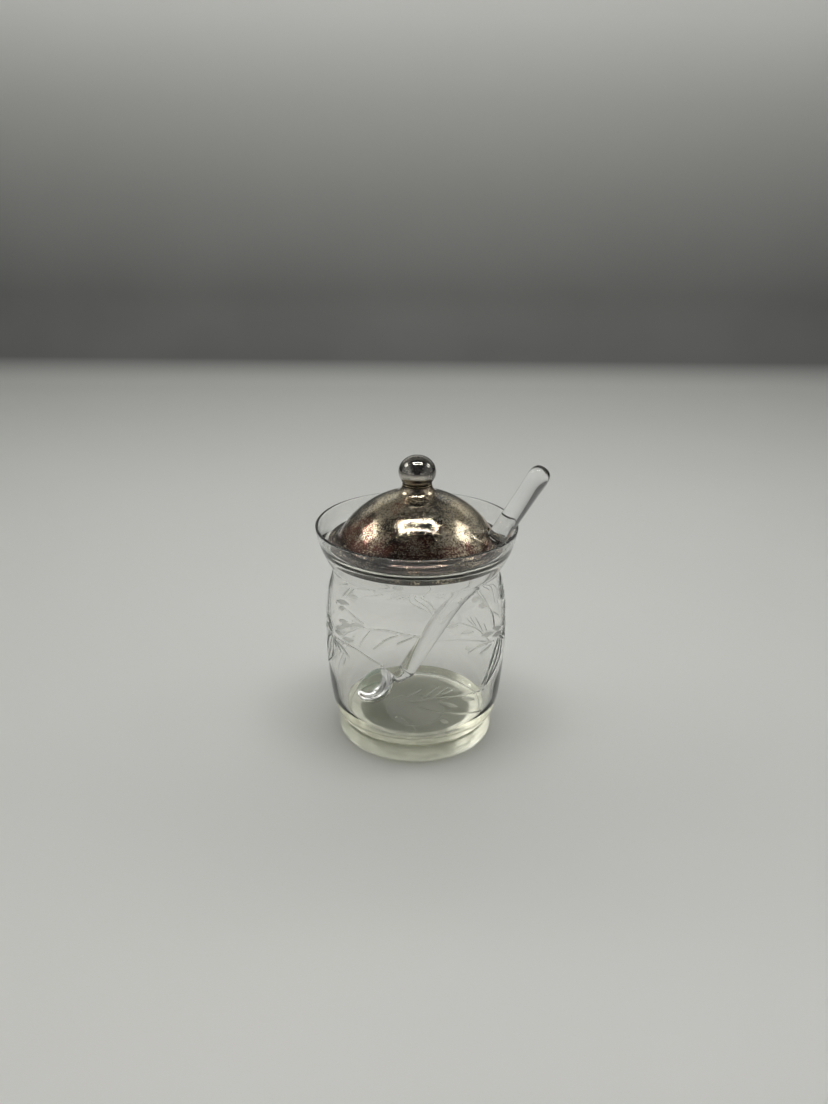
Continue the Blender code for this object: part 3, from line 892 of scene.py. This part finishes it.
def make_world():
    """A dim grey room: lighter at its sides, dark above the camera and darkest right behind it."""
    world = bpy.data.worlds.new("studio")
    bpy.context.scene.world = world
    world.use_nodes = True
    tree = world.node_tree
    background = tree.nodes["Background"]
    _, x, y, z = position(tree, "Generated")
    width = math_node(tree, "ABSOLUTE", x)
    front = map_range(tree, times(tree, y, -1.0), 0.15, 0.30)
    front = times(tree, front, map_range(tree, width, 0.28, 0.36, 1.0, 0.0))
    front = times(tree, front, map_range(tree, z, -0.06, 0.0))
    front = times(tree, front, map_range(tree, z, 0.42, 0.52, 1.0, 0.0))
    up = map_range(tree, z, 0.0, 0.60)
    side = map_range(tree, width, 0.40, 0.85)
    above = times(tree, map_range(tree, z, 0.08, 0.30), map_range(tree, y, 0.10, -0.15))
    base = mix_rgba(tree, up, (0.32, 0.32, 0.31), (0.06, 0.06, 0.06))
    base = mix_rgba(tree, above, base, (0.045, 0.045, 0.047))
    base = mix_rgba(tree, side, base, (0.30, 0.30, 0.295))
    base = mix_rgba(tree, front, base, (0.03, 0.03, 0.032))
    tree.links.new(base, background.inputs["Color"])
    background.inputs["Strength"].default_value = 1.0


def make_camera():
    data = bpy.data.cameras.new("camera")
    data.sensor_width = CAMERA_SENSOR
    data.lens = CAMERA_LENS
    camera = bpy.data.objects.new("camera", data)
    bpy.context.scene.collection.objects.link(camera)
    turn = Matrix.Rotation(math.radians(CAMERA_YAW), 4, "Z")
    turn = turn @ Matrix.Rotation(math.radians(90 - CAMERA_PITCH), 4, "X")
    turn = turn @ Matrix.Rotation(math.radians(CAMERA_ROLL), 4, "Z")
    camera.matrix_world = Matrix.Translation(CAMERA_PLACE) @ turn
    bpy.context.scene.camera = camera


# ---------------------------------------------------------------------------------------------
# the whole scene
# ---------------------------------------------------------------------------------------------
def finish_piece(obj, body, replaced, made):
    obj.data.materials.append(made)
    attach(obj, body)
    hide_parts(*replaced)


def main():
    jar_glass = glass_material("cut_jar_glass", (0.895, 0.885, 0.62), 22.0, cut=True)
    spoon_glass = glass_material("clear_spoon_glass", (0.88, 0.91, 0.88), 10.0)
    silver = plate_material("tarnished_silver_plate", dark=(0.12, 0.10, 0.092), brown=(0.36, 0.275, 0.20),
                            gold=(0.80, 0.64, 0.38), bright=(0.97, 0.90, 0.75), flecked=0.50,
                            polish=0.05, stained=0.85)
    band_silver = plate_material("tarnished_band_plate", dark=(0.035, 0.030, 0.028),
                                 brown=(0.10, 0.078, 0.06),
                                 gold=(0.62, 0.50, 0.28), bright=(0.72, 0.65, 0.50), flecked=0.51,
                                 polish=0.07)
    # the ball's top gets painted shade
    ball_silver = plate_material("worn_ball_plate", dark=(0.20, 0.195, 0.18), brown=(0.74, 0.71, 0.64),
                                 gold=(0.26, 0.235, 0.19), bright=(0.95, 0.91, 0.82), flecked=0.50,
                                 polish=0.012, painted_top_shade=0.75)
    brass = brass_material("plain_brass")

    finish_piece(make_jar(), "jar", ("jar_body",), jar_glass)
    cutter = notch_cutter()
    finish_piece(make_lid(cutter), "lid", ("lid_dome",), silver)
    finish_piece(make_bezel(cutter), "lid", ("lid_bezel",), band_silver)
    bpy.data.objects.remove(cutter)
    finish_piece(make_ball(), "lid", ("finial_ball",), ball_silver)
    finish_piece(make_seat_ring(), "lid", ("finial_collar",), band_silver)
    finish_piece(make_spoon(), "spoon", ("spoon_handle", "spoon_bowl"), spoon_glass)
    for name in ("finial_stud", "finial_washer", "finial_nut"):
        part = frame["nodes"][name]
        part.data.materials.clear()
        part.data.materials.append(brass)

    make_floor()
    make_lights()
    make_world()
    make_camera()
    scene = bpy.context.scene
    scene.view_settings.view_transform = "Standard"
    scene.cycles.transmission_bounces = 16
    scene.cycles.max_bounces = 20
    scene.cycles.transparent_max_bounces = 24


main()
